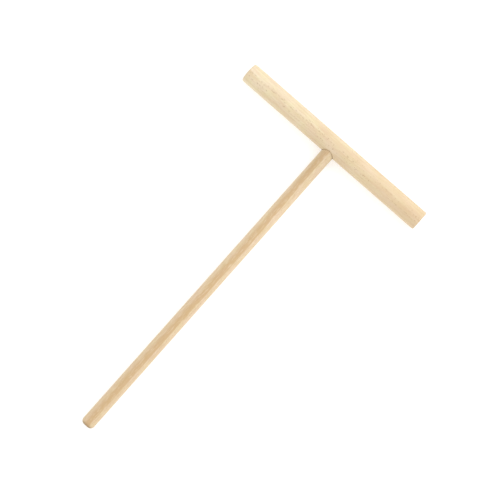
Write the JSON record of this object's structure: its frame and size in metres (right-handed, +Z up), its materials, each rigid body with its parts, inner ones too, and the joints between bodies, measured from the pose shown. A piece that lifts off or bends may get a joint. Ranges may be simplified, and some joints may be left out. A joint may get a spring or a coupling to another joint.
{
  "type": "crepe batter spreader",
  "caption": "T-shaped bare wooden spreader: a slim round rod with a blunt tip, glued into the middle of a thicker round crossbar.",
  "frame": {"origin": "under the middle of the tool's footprint as it lies flat, on the surface that it lies on", "axes": "+X along the crossbar, -Y along the rod towards its free end, +Z up from the surface"},
  "size_m": [0.128, 0.215, 0.012],
  "materials": {
    "crossbar_beech": "bare, sanded smooth",
    "rod_beech": "bare, sanded smooth",
    "wood_glue": "cured, slightly translucent"
  },
  "bodies": {
    "root": {"crossbar": "crossbar_beech", "rod": "rod_beech", "glue_film": "wood_glue"}
  },
  "joints": []
}
